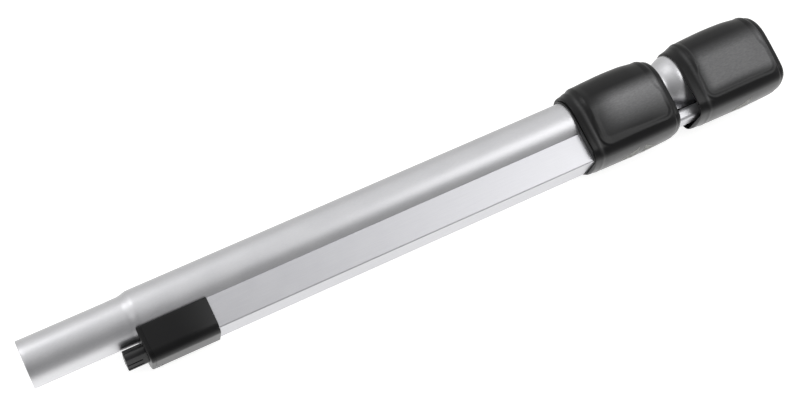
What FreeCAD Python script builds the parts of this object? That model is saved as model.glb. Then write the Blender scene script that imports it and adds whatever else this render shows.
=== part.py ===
import FreeCAD, Part
import math
import os

# Telescopic vacuum wand with a cord channel, pushed together and lying on the flat sides of its grips.
# X runs along the wand from the tip of its spigot to the handle end, Z points up,
# and the cord channel is on the -Y side of the tube. Sizes are in millimetres.

# Clearances, and how closely an edge must follow a direction to count as running along it
bond_gap = 0.05
running_gap = 0.08
slide_gap = 0.3
direction_tolerance = 0.001

# Outer tube, swaged down to a spigot that carries the floor head
spigot_radius = 17.5
spigot_length = 60.0
taper_length = 10.0
taper_rise = 0.2
shoulder_length = 11.0
shoulder_rise = 1.55
tube_wall = 1.2

# Inner tube, which slides in the outer one and opens into a bell for the handle
inner_wall = 1.0
inner_entry = 1.5
telescope_travel = 350.0
bush_length = 17.0
bush_wall = 0.97
bush_lip = 2.0
flare_length = 13.0
flare_lap = 4.1

# Cord channel under the tube
channel_half_width = 16.0
channel_drop = 15.05
channel_proud = 0.7
channel_wall = 1.2
channel_corner = 1.2

# Plug at the channel's lower end
housing_overhang = 5.0
housing_length = 52.0
housing_wall = 1.65
housing_floor = 2.2
housing_front = 2.9
housing_cover = 0.9
housing_corner = 5.0
housing_bevel = 0.8
barrel_radius = 6.9
barrel_cover = 0.5
barrel_reach = 14.5
barrel_collar_length = 3.0
barrel_collar_rise = 0.2
barrel_chamfer = 0.6
groove_count = 7
groove_step_deg = 20.7
groove_width = 1.1
groove_depth = 1.0
base_half_width = 13.0
base_length = 6.0
contact_radius = 1.55
contact_bore = 1.0
contact_spacing = 6.4
contact_recess = 1.5
screw_radius = 1.5
screw_length = 6.0
screw_head_radius = 2.6
screw_head_height = 1.3
screw_offset = -9.0

# Conduit that carries the coil cord and slides in the channel
conduit_half_width = 10.0
conduit_height = 9.5
conduit_corner = 1.8
conduit_wall = 1.0
shoe_length = 15.0
cord_radius = 3.4
anchor_length = 5.0
anchor_margin = 1.6

# Guide body, fixed on the outer tube inside the lower grip
guide_length = 35.3
guide_wall = 1.45
guide_floor = 0.8
guide_corner = 8.0
stop_length = 2.0
stop_rise = 0.5
seal_length = 3.0
seal_gap = 0.1
flange_length = 2.0
flange_rise = 2.2
flange_gap = 0.2
retainer_length = 1.9

# Clamp collet and the release sleeve that squeezes it
collet_wall = 1.15
crown_rise = 1.5
crown_ramp = 3.0
crown_width = 5.0
collet_slit = 2.4
sleeve_travel = 6.0
sleeve_show = 1.2
sleeve_back = 6.6
mouth_gap = 1.2
mouth_wall = 2.5
end_gap = 1.2
window_gap = 0.6

# Return spring in the crown of the sleeve, held between two lugs of the guide body
spring_start = 20.0
spring_length = 20.0
spring_radius = 1.9
spring_wire = 0.5
spring_pitch = 2.0
spring_cover = 1.2
lug_length = 2.5
lug_width = 1.8
lug_height = 3.5

# Form shared by the two grips
floor_wall = 3.0
foot_wall = 1.25
foot_radius = 10.0
foot_end_deg = 166.7
belly_rise = 1.6
panel_depth = 0.5
panel_front = 11.5
panel_back = 7.5
panel_top = 16.0
panel_bottom = -28.0
panel_corner = 7.0

# Lip outline: distance from the lip, then how far the round top, the foot and the bottom lie inside the crown
lip_outline = [(0.0, 4.0, 0.2, 0.8), (3.0, 3.4, 0.15, 0.6), (7.5, 2.4, 0.1, 0.4), (12.5, 0.8, 0.0, 0.1)]
# Back outline: the same, with the distance measured forward from the end of the grip
back_outline = [(11.0, 1.1, 0.15, 0.3), (5.0, 2.0, 0.4, 0.7)]
# Rim outline: the narrower rim behind the step, measured in the same way
rim_outline = [(5.0, 3.1, 0.7, 1.2), (2.5, 3.4, 0.9, 1.5), (1.0, 4.0, 1.3, 2.0), (0.0, 5.2, 2.3, 3.2)]

# Upper grip with the handle socket and the cord's inlet
finger_gap = 9.9
upper_end_wall = 7.0
socket_gap = 0.2
liner_wall = 2.25
liner_offset = 2.5
liner_nose_wall = 1.2
liner_set_back = 0.3
ring_radius = 0.8
ring_offset = 12.0
block_offset = 30.0
block_half_width = 18.5
block_top_drop = 1.0
block_corner = 5.3
conduit_seat = 12.0
chamber_start = 1.5
chamber_length = 16.0
clamp_length = 6.0
inlet_wall = 9.0
inlet_half_width = 9.5
inlet_height = 8.2
pin_radius = 1.5
pin_spacing = 9.6
pin_reach = 5.0
pin_tail = 2.0
lead_radius = 0.9
lead_spacing = 4.0

# Sizes across the wand
tube_radius = spigot_radius + taper_rise + shoulder_rise
bore_radius = tube_radius - tube_wall
inner_radius = bore_radius - running_gap - bush_wall
socket_radius = spigot_radius + socket_gap
liner_radius = socket_radius + liner_wall
bell_radius = liner_radius + bond_gap + inner_wall
bell_seat_radius = bell_radius + bond_gap
saddle_radius = tube_radius + bond_gap
channel_top = -(math.sqrt(tube_radius**2 - channel_half_width**2) + channel_proud)
channel_bottom = -(tube_radius + channel_drop)
channel_floor = channel_bottom + channel_wall
conduit_bottom = channel_floor + slide_gap
conduit_top = conduit_bottom + conduit_height
conduit_middle = (conduit_bottom + conduit_top) / 2
housing_half_width = channel_half_width + bond_gap + housing_wall
housing_top = channel_top + housing_cover
housing_bottom = channel_bottom - bond_gap - housing_floor
barrel_y = -(saddle_radius + barrel_cover + bond_gap + barrel_collar_rise + barrel_radius)
guide_radius = saddle_radius + guide_wall
guide_bottom = channel_bottom - guide_floor
cavity_radius = guide_radius + slide_gap
cavity_bottom = guide_bottom - slide_gap
collet_bore = inner_radius + running_gap
collet_radius = collet_bore + collet_wall
clamp_radius = collet_radius + crown_rise
lug_top = guide_radius + lug_height
spring_y = cavity_radius + spring_radius + spring_wire / 2
top_wall = spring_y + spring_radius + slide_gap + spring_cover - cavity_radius
inlet_bottom = conduit_middle - inlet_height / 2

# Places along the wand
spigot_end = spigot_length + taper_length
shoulder_end = spigot_end + shoulder_length
housing_start = shoulder_end - housing_overhang
housing_end = housing_start + housing_length
barrel_tip = housing_start - barrel_reach
base_start = housing_start + housing_front
base_end = base_start + base_length
channel_start = base_end + slide_gap
anchor_start = channel_start + slide_gap
anchor_end = anchor_start + anchor_length
cord_start = anchor_start + anchor_margin
inner_start = anchor_end + inner_entry
stop_x = inner_start + bush_length + telescope_travel + slide_gap
tube_end = stop_x - bond_gap
guide_start = stop_x - guide_length
seal_start = stop_x + stop_length
flange_start = seal_start + seal_length
retainer_start = flange_start + flange_length
guide_end = retainer_start + retainer_length
land_start = guide_end + slide_gap + sleeve_travel
land_end = land_start + crown_width
collet_end = land_end + sleeve_travel + slide_gap
cavity_end = collet_end + sleeve_travel + end_gap
spring_x = guide_start + spring_start
spring_end = spring_x + spring_length
sleeve_start = guide_start + sleeve_show
sleeve_end = cavity_end + sleeve_back
flare_start = sleeve_end + sleeve_travel - flare_lap
flare_end = flare_start + flare_length
upper_start = sleeve_end + sleeve_travel + finger_gap
block_start = upper_start + block_offset
conduit_end = block_start + conduit_seat
clamp_start = conduit_end + chamber_start
clamp_end = clamp_start + clamp_length
chamber_end = clamp_start + chamber_length
inside_end = chamber_end + inlet_wall
upper_end = inside_end + upper_end_wall
liner_start = flare_end + liner_offset


def vector(x, y, z):
    return FreeCAD.Vector(x, y, z)


def rod(radius, x_from, x_to, y=0.0, z=0.0):
    """Round bar along the wand."""
    return Part.makeCylinder(radius, x_to - x_from, vector(x_from, y, z), vector(1, 0, 0))


def ring(outer, inner, x_from, x_to):
    """Round collar about the tube's axis."""
    return rod(outer, x_from, x_to).cut(rod(inner, x_from, x_to))


def block(x_from, x_to, y_from, y_to, half_width):
    """Square-edged bar, as wide to +Z as to -Z."""
    corner = vector(x_from, y_from, -half_width)
    return Part.makeBox(x_to - x_from, y_to - y_from, 2 * half_width, corner)


def edges_along(shape, direction):
    """Edges of a shape that run along a direction."""
    return [edge for edge in shape.Edges
            if edge.tangentAt(edge.FirstParameter).cross(direction).Length < direction_tolerance]


def edges_before(shape, x):
    """Edges of a shape that lie wholly on the lower side of a place along the wand."""
    return [edge for edge in shape.Edges if edge.BoundBox.XMax < x]


def straight(first, second):
    return Part.LineSegment(first, second).toShape()


def arc(first, middle, last):
    return Part.Arc(first, middle, last).toShape()


def corner_arc(x, y, z, radius, y_side, z_side):
    """Quarter circle about a corner's centre, from its flat top or bottom to its flat side."""
    slant = radius * math.sqrt(0.5)
    flat = vector(x, y + y_side * radius, z)
    middle = vector(x, y + y_side * slant, z + z_side * slant)
    side = vector(x, y, z + z_side * radius)
    return flat, middle, side


def slab(x_from, x_to, top, bottom, half_width, corner):
    """Bar with square upper edges and round lower edges."""
    centre_y = bottom + corner
    centre_z = half_width - corner
    flat_r, middle_r, side_r = corner_arc(x_from, centre_y, centre_z, corner, -1, 1)
    flat_l, middle_l, side_l = corner_arc(x_from, centre_y, -centre_z, corner, -1, -1)
    top_r = vector(x_from, top, half_width)
    top_l = vector(x_from, top, -half_width)
    edges = [straight(top_l, top_r), straight(top_r, side_r), arc(side_r, middle_r, flat_r)]
    edges += [straight(flat_r, flat_l), arc(flat_l, middle_l, side_l), straight(side_l, top_l)]
    return Part.Face(Part.Wire(edges)).extrude(vector(x_to - x_from, 0, 0))


def arch_bar(x_from, x_to, radius, bottom, corner):
    """Bar with a half-round top about the tube's axis, flat sides and round lower edges."""
    centre_y = bottom + corner
    centre_z = radius - corner
    flat_r, middle_r, side_r = corner_arc(x_from, centre_y, centre_z, corner, -1, 1)
    flat_l, middle_l, side_l = corner_arc(x_from, centre_y, -centre_z, corner, -1, -1)
    side_top_r = vector(x_from, 0, radius)
    side_top_l = vector(x_from, 0, -radius)
    edges = [arc(side_top_l, vector(x_from, radius, 0), side_top_r), straight(side_top_r, side_r)]
    edges += [arc(side_r, middle_r, flat_r), straight(flat_r, flat_l)]
    edges += [arc(flat_l, middle_l, side_l), straight(side_l, side_top_l)]
    return Part.Face(Part.Wire(edges)).extrude(vector(x_to - x_from, 0, 0))


def rounded_bar(x_from, x_to, y_from, y_to, half_width, corner):
    """Bar with all four long edges rounded."""
    bar = block(x_from, x_to, y_from, y_to, half_width)
    return bar.makeFillet(corner, edges_along(bar, vector(1, 0, 0)))


def s_curve(x_from, r_from, x_to, r_to):
    """Two arcs that leave and arrive along the wand, as a swaged tube changes size."""
    half_run = (x_to - x_from) / 2
    half_rise = (r_to - r_from) / 2
    turn = 2 * math.atan(half_rise / half_run)
    bend = half_run / math.sin(turn)
    mid_run = bend * math.sin(turn / 2)
    mid_rise = bend * (1 - math.cos(turn / 2))
    start = vector(x_from, r_from, 0)
    centre = vector(x_from + half_run, r_from + half_rise, 0)
    end = vector(x_to, r_to, 0)
    first = arc(start, vector(x_from + mid_run, r_from + mid_rise, 0), centre)
    second = arc(centre, vector(x_to - mid_run, r_to - mid_rise, 0), end)
    return [first, second]


def turned(edges):
    """Solid of revolution about the tube's axis from a closed outline above it."""
    face = Part.Face(Part.Wire(Part.__sortEdges__(edges)))
    return face.revolve(vector(0, 0, 0), vector(1, 0, 0), 360)


def grip_outline(x, top, foot_half_width, bottom):
    """Closed outline across a grip: round about the tube above, with sides that close in to a rounded foot."""
    foot_end = math.radians(foot_end_deg)
    foot_y = bottom + belly_rise - foot_radius * math.cos(foot_end)
    inset = top - foot_half_width
    side_reach = (foot_y**2 + inset**2) / (2 * inset)
    lean = math.asin(-foot_y / side_reach)
    side_radius = side_reach + foot_radius

    def on_side(turn):
        return -side_radius * math.sin(turn), top - side_radius * (1 - math.cos(turn))

    def on_foot(turn):
        return foot_y + foot_radius * math.cos(turn), foot_half_width - foot_radius * (1 - math.sin(turn))

    foot_start = math.pi / 2 + lean
    foot_middle = (foot_start + foot_end) / 2
    places = [(0, top), on_side(lean / 2), on_foot(foot_start), on_foot(foot_middle), on_foot(foot_end)]
    right = [vector(x, y, z) for y, z in places]
    left = [vector(x, y, -z) for y, z in places]
    edges = [arc(left[0], vector(x, top, 0), right[0]), arc(*right[:3]), arc(*right[2:])]
    edges += [arc(right[4], vector(x, bottom, 0), left[4]), arc(*left[:1:-1]), arc(*left[2::-1])]
    return Part.Wire(edges)


def grip_shell(x_from, x_to, inside_radius, inside_bottom):
    """Outer form of a grip: flared lip, crowned body with a sunk panel on each side, a step and a narrower rim."""
    top = inside_radius + top_wall
    foot_half_width = inside_radius + foot_wall
    bottom = inside_bottom - floor_wall

    def skin(rows, depth):
        """Solid through outlines at the given places, or the same lying deeper."""
        return Part.makeLoft([grip_outline(x, top - top_fall - depth, foot_half_width - foot_fall - depth,
                                           bottom + rise) for x, top_fall, foot_fall, rise in rows], True)

    body = [(x_from + run, *falls) for run, *falls in lip_outline]
    body.append(((x_from + x_to) / 2, 0, 0, 0))
    body += [(x_to - run, *falls) for run, *falls in back_outline]
    rim = [(x_to - run, *falls) for run, *falls in rim_outline]
    pad = block(x_from + panel_front, x_to - panel_back, panel_bottom, panel_top, 2 * top)
    pad = pad.makeFillet(panel_corner, edges_along(pad, vector(0, 0, 1)))
    return skin(body, 0).fuse(skin(rim, 0)).cut(pad.cut(skin(body, panel_depth)))


def make_outer_tube():
    def skin(inset):
        start = vector(0, spigot_radius - inset, 0)
        plain = vector(spigot_length, spigot_radius - inset, 0)
        tapered = spigot_radius + taper_rise - inset
        edges = [straight(start, plain), straight(plain, vector(spigot_end, tapered, 0))]
        edges += s_curve(spigot_end, tapered, shoulder_end, tube_radius - inset)
        edges.append(straight(vector(shoulder_end, tube_radius - inset, 0),
                              vector(tube_end, tube_radius - inset, 0)))
        return edges

    edges = skin(0) + skin(tube_wall)
    edges.append(straight(vector(0, spigot_radius - tube_wall, 0), vector(0, spigot_radius, 0)))
    edges.append(straight(vector(tube_end, bore_radius, 0), vector(tube_end, tube_radius, 0)))
    return turned(edges)


def make_cord_channel():
    outside = slab(channel_start, tube_end, channel_top, channel_bottom, channel_half_width, channel_corner)
    outside = outside.cut(rod(saddle_radius, channel_start, tube_end))
    inner_half_width = channel_half_width - channel_wall
    inner_corner = channel_corner / 2
    inside = slab(channel_start, tube_end, 0, channel_floor, inner_half_width, inner_corner)
    inside = inside.cut(rod(saddle_radius + channel_wall, channel_start, tube_end))
    return outside.cut(inside)


def make_plug_housing():
    shell = slab(housing_start, housing_end, housing_top, housing_bottom, housing_half_width, housing_corner)
    shell = shell.makeChamfer(housing_bevel, edges_before(shell, housing_start + housing_bevel))
    shell = shell.cut(rod(saddle_radius, housing_start, housing_end))
    seat = slab(base_start, housing_end, 0, channel_bottom - bond_gap,
                channel_half_width + bond_gap, channel_corner)
    shell = shell.cut(seat)
    shell = shell.cut(rod(barrel_radius + barrel_collar_rise + bond_gap, housing_start, base_start, barrel_y))
    return shell.cut(screw_hole(bond_gap))


def screw_hole(gap):
    """Space for the screw that holds the plug's base in its housing."""
    x = base_start + base_length / 2
    up = vector(0, 1, 0)
    head_start = vector(x, housing_bottom, screw_offset)
    head = Part.makeCylinder(screw_head_radius + gap, screw_head_height, head_start, up)
    shank_start = vector(x, housing_bottom + screw_head_height, screw_offset)
    return head.fuse(Part.makeCylinder(screw_radius + gap, screw_length, shank_start, up))


def make_housing_screw():
    return screw_hole(0)


def make_plug_barrel():
    body = rod(barrel_radius, barrel_tip, base_start, barrel_y)
    body = body.makeChamfer(barrel_chamfer, edges_before(body, barrel_tip + barrel_chamfer))
    collar_start = housing_start - barrel_collar_length
    groove_y = barrel_y - barrel_radius
    groove = block(barrel_tip, collar_start, groove_y - groove_depth, groove_y + groove_depth, groove_width / 2)
    centre = vector(barrel_tip, barrel_y, 0)
    first_turn = -groove_step_deg * (groove_count - 1) / 2
    for index in range(groove_count):
        turned_groove = groove.copy()
        turned_groove.rotate(centre, vector(1, 0, 0), first_turn + index * groove_step_deg)
        body = body.cut(turned_groove)
    collar = rod(barrel_radius + barrel_collar_rise, collar_start, base_start, barrel_y)
    base = block(base_start, base_end, channel_floor, barrel_y + barrel_radius, base_half_width)
    body = body.fuse(collar).fuse(base).removeSplitter()
    for z in (-contact_spacing / 2, contact_spacing / 2):
        body = body.cut(rod(contact_radius + bond_gap, barrel_tip, base_end, barrel_y, z))
    return body.cut(screw_hole(bond_gap))


def make_plug_contacts():
    start = barrel_tip + contact_recess
    contacts = []
    for z in (-contact_spacing / 2, contact_spacing / 2):
        sleeve = rod(contact_radius, start, cord_start - bond_gap, barrel_y, z)
        contacts.append(sleeve.cut(rod(contact_bore, start, base_start, barrel_y, z)))
    return Part.makeCompound(contacts)


def make_cord_anchor():
    bar = rounded_bar(anchor_start, anchor_end, conduit_bottom, conduit_top, conduit_half_width, conduit_corner)
    bar = bar.cut(rod(cord_radius + bond_gap, cord_start, anchor_end, conduit_middle))
    for z in (-contact_spacing / 2, contact_spacing / 2):
        bar = bar.cut(rod(contact_radius + bond_gap, anchor_start, cord_start, barrel_y, z))
    return bar


def make_coil_cord():
    return rod(cord_radius, cord_start + bond_gap, clamp_end, conduit_middle)


def conduit_window(x_from, x_to, gap):
    """Space that the conduit slides through."""
    return rounded_bar(x_from, x_to, conduit_bottom - gap, conduit_top + gap,
                       conduit_half_width + gap, conduit_corner)


def make_guide_body():
    body = arch_bar(guide_start, guide_end, guide_radius, guide_bottom, guide_corner)
    body = body.cut(rod(saddle_radius, guide_start, stop_x))
    body = body.cut(slab(guide_start, stop_x, channel_top + bond_gap, channel_bottom - bond_gap,
                         channel_half_width + bond_gap, channel_corner))
    body = body.cut(rod(inner_radius + stop_rise, stop_x, seal_start))
    body = body.cut(rod(inner_radius + flange_rise + flange_gap, seal_start, retainer_start))
    body = body.cut(rod(collet_radius + slide_gap, retainer_start, guide_end))
    body = body.cut(conduit_window(stop_x, guide_end, slide_gap))
    lug_foot = saddle_radius + guide_wall / 2
    for x in (spring_x - lug_length - slide_gap, spring_end + slide_gap):
        body = body.fuse(block(x, x + lug_length, lug_foot, lug_top, lug_width / 2))
    return body.removeSplitter()


def make_tube_seal():
    outer = inner_radius + flange_rise
    return ring(outer, inner_radius + seal_gap, seal_start + bond_gap, flange_start - bond_gap)


def make_clamp_collet():
    collet = rod(collet_radius, flange_start, collet_end)
    collet = collet.fuse(rod(inner_radius + flange_rise, flange_start, retainer_start - bond_gap))
    ramp_start = land_start - crown_ramp
    ramp_end = land_end + crown_ramp
    crown = s_curve(ramp_start, collet_radius, land_start, clamp_radius)
    crown.append(straight(vector(land_start, clamp_radius, 0), vector(land_end, clamp_radius, 0)))
    crown += s_curve(land_end, clamp_radius, ramp_end, collet_radius)
    foot = [vector(ramp_end, collet_radius, 0), vector(ramp_end, collet_bore, 0),
            vector(ramp_start, collet_bore, 0), vector(ramp_start, collet_radius, 0)]
    crown += [straight(first, second) for first, second in zip(foot, foot[1:])]
    collet = collet.fuse(turned(crown)).cut(rod(collet_bore, flange_start, collet_end))
    return collet.cut(block(flange_start, collet_end, -2 * clamp_radius, 0, collet_slit / 2))


def make_return_spring():
    coil_radius = spring_radius - spring_wire / 2
    height = spring_length - spring_wire - 2 * bond_gap
    helix = Part.makeHelix(spring_pitch, height, coil_radius)
    circle = Part.makeCircle(spring_wire / 2, vector(coil_radius, 0, 0), vector(0, 1, 0))
    spring = Part.Wire(helix.Edges).makePipeShell([Part.Wire(circle)], True, True)
    spring.rotate(vector(0, 0, 0), vector(0, 1, 0), 90)
    spring.translate(vector(spring_x + spring_wire / 2 + bond_gap, spring_y, 0))
    return spring


def make_release_sleeve():
    sleeve = grip_shell(sleeve_start, sleeve_end, cavity_radius, cavity_bottom)
    mouth_start = sleeve_end - mouth_wall
    sleeve = sleeve.cut(arch_bar(sleeve_start, cavity_end, cavity_radius, cavity_bottom, guide_corner))
    sleeve = sleeve.cut(rod(clamp_radius, cavity_end, mouth_start))
    sleeve = sleeve.cut(rod(inner_radius + mouth_gap, mouth_start, sleeve_end))
    sleeve = sleeve.cut(conduit_window(cavity_end, sleeve_end, window_gap))
    land = arch_bar(land_start, land_end, cavity_radius + bond_gap, cavity_bottom, guide_corner)
    land = land.common(block(land_start, land_end, channel_top, 2 * cavity_radius, 2 * cavity_radius))
    sleeve = sleeve.fuse(land.cut(rod(clamp_radius + slide_gap, land_start, land_end)))
    pocket = rod(spring_radius + slide_gap, spring_x, spring_end, spring_y)
    reach = lug_length + 2 * slide_gap + sleeve_travel
    slot = block(spring_x - reach, spring_end + reach, cavity_radius - guide_wall,
                 lug_top + slide_gap, lug_width / 2 + slide_gap)
    return sleeve.cut(pocket).cut(slot).removeSplitter()


def make_inner_tube():
    bell_end = inside_end - bond_gap

    def skin(inset):
        neck = inner_radius - inset
        bell = bell_radius - inset
        edges = [straight(vector(inner_start, neck, 0), vector(flare_start, neck, 0))]
        edges += s_curve(flare_start, neck, flare_end, bell)
        edges.append(straight(vector(flare_end, bell, 0), vector(bell_end, bell, 0)))
        return edges

    neck_bore = inner_radius - inner_wall
    bell_bore = bell_radius - inner_wall
    edges = skin(0) + skin(inner_wall)
    edges.append(straight(vector(inner_start, neck_bore, 0), vector(inner_start, inner_radius, 0)))
    edges.append(straight(vector(bell_end, bell_bore, 0), vector(bell_end, bell_radius, 0)))
    return turned(edges)


def make_guide_bush():
    lip_end = inner_start - bond_gap
    bush_end = inner_start + bush_length
    bush = rod(bore_radius - running_gap, inner_start - bush_lip, bush_end)
    bush = bush.cut(rod(inner_radius + bond_gap, lip_end, bush_end))
    return bush.cut(rod(inner_radius - inner_wall, inner_start - bush_lip, lip_end))


def make_cord_conduit():
    outside = rounded_bar(inner_start, conduit_end, conduit_bottom, conduit_top,
                          conduit_half_width, conduit_corner)
    inside = rounded_bar(inner_start, conduit_end, conduit_bottom + conduit_wall, conduit_top - conduit_wall,
                         conduit_half_width - conduit_wall, conduit_corner - conduit_wall)
    return outside.cut(inside)


def make_conduit_shoe():
    half_width = channel_half_width - channel_wall - slide_gap
    shoe_end = inner_start + shoe_length
    shoe = slab(inner_start, shoe_end, channel_top - slide_gap, conduit_bottom, half_width, channel_corner)
    shoe = shoe.cut(rod(saddle_radius + channel_wall + slide_gap, inner_start, shoe_end))
    return shoe.cut(conduit_window(inner_start, shoe_end, bond_gap))


def make_upper_grip():
    grip = grip_shell(upper_start, upper_end, bell_seat_radius, cavity_bottom)
    grip = grip.cut(arch_bar(upper_start, inside_end, bell_seat_radius, cavity_bottom, guide_corner))
    grip = grip.cut(rod(socket_radius + liner_nose_wall + bond_gap, inside_end, upper_end))
    return grip.cut(block(inside_end, upper_end, inlet_bottom, inlet_bottom + inlet_height, inlet_half_width))


def make_socket_liner():
    nose_end = upper_end - liner_set_back
    liner = rod(liner_radius, liner_start, inside_end - bond_gap)
    liner = liner.fuse(rod(socket_radius + liner_nose_wall, liner_start, nose_end))
    liner = liner.cut(rod(socket_radius, liner_start, nose_end))
    ring_x = liner_start + ring_offset
    half_groove = ring_radius + bond_gap
    groove = ring(bell_radius, liner_radius - 2 * ring_radius, ring_x - half_groove, ring_x + half_groove)
    return liner.cut(groove)


def make_liner_seal():
    centre = vector(liner_start + ring_offset, 0, 0)
    return Part.makeTorus(liner_radius - ring_radius, ring_radius - bond_gap, centre, vector(1, 0, 0))


def make_inlet_block():
    end = inside_end - bond_gap
    rim_y = -math.sqrt(bell_seat_radius**2 - block_half_width**2) - block_top_drop
    body = slab(block_start, end, rim_y, cavity_bottom + bond_gap, block_half_width, block_corner)
    body = body.cut(rod(bell_seat_radius, block_start, end))
    body = body.cut(conduit_window(block_start, conduit_end + bond_gap, bond_gap))
    body = body.cut(block(conduit_end, chamber_end, conduit_bottom + conduit_wall,
                          conduit_top - conduit_wall, conduit_half_width - conduit_wall))
    for z in (-pin_spacing / 2, pin_spacing / 2):
        body = body.cut(rod(pin_radius + bond_gap, chamber_end, end, conduit_middle, z))
    return body


def make_cord_clamp():
    inset = conduit_wall + bond_gap
    bar = block(clamp_start, clamp_end, conduit_bottom + inset, conduit_top - inset, conduit_half_width - inset)
    return bar.cut(rod(cord_radius + bond_gap, clamp_start, clamp_end, conduit_middle))


def make_inlet_pins():
    return Part.makeCompound([rod(pin_radius, chamber_end - pin_tail, inside_end + pin_reach, conduit_middle, z)
                              for z in (-pin_spacing / 2, pin_spacing / 2)])


def make_inlet_leads():
    first_x = clamp_end + bond_gap + lead_radius
    last_x = chamber_end - pin_tail - bond_gap - lead_radius
    leads = []
    for side in (-1, 1):
        first = vector(first_x, conduit_middle, side * lead_spacing / 2)
        last = vector(last_x, conduit_middle, side * pin_spacing / 2)
        leads.append(Part.makeCylinder(lead_radius, (last - first).Length, first, last - first))
    return Part.makeCompound(leads)


nodes = {
    "outer_tube": make_outer_tube,
    "cord_channel": make_cord_channel,
    "plug_housing": make_plug_housing,
    "plug_barrel": make_plug_barrel,
    "plug_contacts": make_plug_contacts,
    "housing_screw": make_housing_screw,
    "cord_anchor": make_cord_anchor,
    "coil_cord": make_coil_cord,
    "guide_body": make_guide_body,
    "tube_seal": make_tube_seal,
    "clamp_collet": make_clamp_collet,
    "return_spring": make_return_spring,
    "release_sleeve": make_release_sleeve,
    "inner_tube": make_inner_tube,
    "guide_bush": make_guide_bush,
    "cord_conduit": make_cord_conduit,
    "conduit_shoe": make_conduit_shoe,
    "upper_grip": make_upper_grip,
    "socket_liner": make_socket_liner,
    "liner_seal": make_liner_seal,
    "inlet_block": make_inlet_block,
    "cord_clamp": make_cord_clamp,
    "inlet_pins": make_inlet_pins,
    "inlet_leads": make_inlet_leads,
}

os.makedirs("parts", exist_ok=True)
for name, make in nodes.items():
    shape = make()
    shape.exportStep("parts/" + name + ".step")
    box = shape.BoundBox
    print(name, len(shape.Solids), shape.isValid(), round(shape.Volume, 1),
          [round(value, 2) for value in (box.XMin, box.XMax, box.YMin, box.YMax, box.ZMin, box.ZMax)])
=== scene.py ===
import math

import bmesh
import bpy
import numpy as np
from mathutils import Matrix, Vector
from mathutils.bvhtree import BVHTree


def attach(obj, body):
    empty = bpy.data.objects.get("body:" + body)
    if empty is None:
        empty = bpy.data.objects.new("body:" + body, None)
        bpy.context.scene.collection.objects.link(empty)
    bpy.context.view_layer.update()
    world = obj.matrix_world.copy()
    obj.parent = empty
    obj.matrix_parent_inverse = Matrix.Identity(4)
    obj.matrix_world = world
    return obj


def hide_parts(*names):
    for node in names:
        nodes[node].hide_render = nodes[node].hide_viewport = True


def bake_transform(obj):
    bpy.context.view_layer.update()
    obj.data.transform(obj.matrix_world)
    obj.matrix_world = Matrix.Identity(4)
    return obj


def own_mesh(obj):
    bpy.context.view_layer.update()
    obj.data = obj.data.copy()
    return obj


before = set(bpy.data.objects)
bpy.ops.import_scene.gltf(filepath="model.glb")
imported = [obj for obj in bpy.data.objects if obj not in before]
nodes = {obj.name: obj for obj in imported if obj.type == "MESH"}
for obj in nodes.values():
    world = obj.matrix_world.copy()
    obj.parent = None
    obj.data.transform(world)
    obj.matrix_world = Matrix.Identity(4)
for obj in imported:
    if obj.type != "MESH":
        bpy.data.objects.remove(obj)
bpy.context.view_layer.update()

scene = bpy.context.scene
MM = 0.001


def span(node, axis="x"):
    """Where a CAD node starts and ends along an axis, in millimetres to the hundredth."""
    places = [corner["xyz".index(axis)] for corner in nodes[node].bound_box]
    return round(min(places) / MM, 2), round(max(places) / MM, 2)


# Sizes in millimetres, in the CAD frame: X runs up the wand, Y across it away from the cord channel
# Tubes: ends, radii and walls, the slow and the steep rise of the shoulder, and the flare of the bell
TUBE_ENDS = span("outer_tube")
INNER_ENDS = span("inner_tube")
SPIGOT = 17.5
TUBE = span("outer_tube", "y")[1]
NECK = 17.0
BELL = span("inner_tube", "y")[1]
TUBE_WALL = 1.2
INNER_WALL = 1.0
SHOULDER = (60.0, 73.0, 82.0)
SHOULDER_SWELL = 0.15
FLARE = (501.5, 514.5)

# Grips: ends, radius of the top, half width at the foot, belly, the heel that joins side and belly with the
# angle at which it ends, and the rise of the belly from its middle to there
SLEEVE = span("release_sleeve")
UPPER = span("upper_grip")
GRIP_TOP = 26.6
GRIP_FOOT = 22.3
BELLY = -38.8
HEEL = 10.0
HEEL_END = math.radians(161.0)
BELLY_RISE = 2.6

# Passage through the grips, where the wall at its end starts, and the round mouths in that wall
PASSAGE = 21.05
PASSAGE_FLOOR = -35.4
PASSAGE_CORNER = 8.0
SLEEVE_WALL = 493.0
SLEEVE_STEP_END = 497.1
UPPER_WALL = 584.0
COLLET = span("clamp_collet", "y")[1]
SLEEVE_MOUTH = 18.2
SOCKET_MOUTH = 18.95

# Sunk panel of a grip: its distance from lip and rim, how low it reaches, its corners, the bend of its ends,
# its depth and how much of that is lost on the top, the width of its slope at the rim, and the height of the
# bead round it and of the ridge at the lip
PANEL_FRONT = 12.6
PANEL_REAR = 8.0
PANEL_LOW = 28.0
PANEL_CORNER = 7.0
PANEL_BEND = 2.4
PANEL_DEPTH = 0.75
PANEL_TOP_LOSS = 0.5
PANEL_REAR_SLOPE = 2.4
BEAD = 0.22
RIDGE = 0.28

# Painted light on a grip as shares of full sheen: floor reflection painted on the belly, highlight on the
# ridge
BELLY_PAINTED_REFLECTION = 0.35
RIDGE_PAINTED_HIGHLIGHT = 0.22

# Arrow marks: half their width, how far they stand off the belly, and the thickness of the print
ARROW_HALF = 10.5
PRINT_GAP = 0.05
PRINT_THICK = 0.04

# Plug: ends and half width of its cap, and the places of barrel, contacts, screw and cord
HOUSING = span("plug_housing")
CAP_HALF = span("plug_housing", "z")[1]
CAP_BELLY = -36.9
CAP_TOP = -10.5
CAP_SET_BACK = 0.9
BARREL_Y = -26.95
BARREL_NECK = 5.6
CONTACT_Z = 3.2
CONTACT_HOLE = 1.6
SCREW_X = 81.9
SCREW_Z = -9.0
SCREW_HEAD = 2.6
CORD_Y = -28.05

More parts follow.
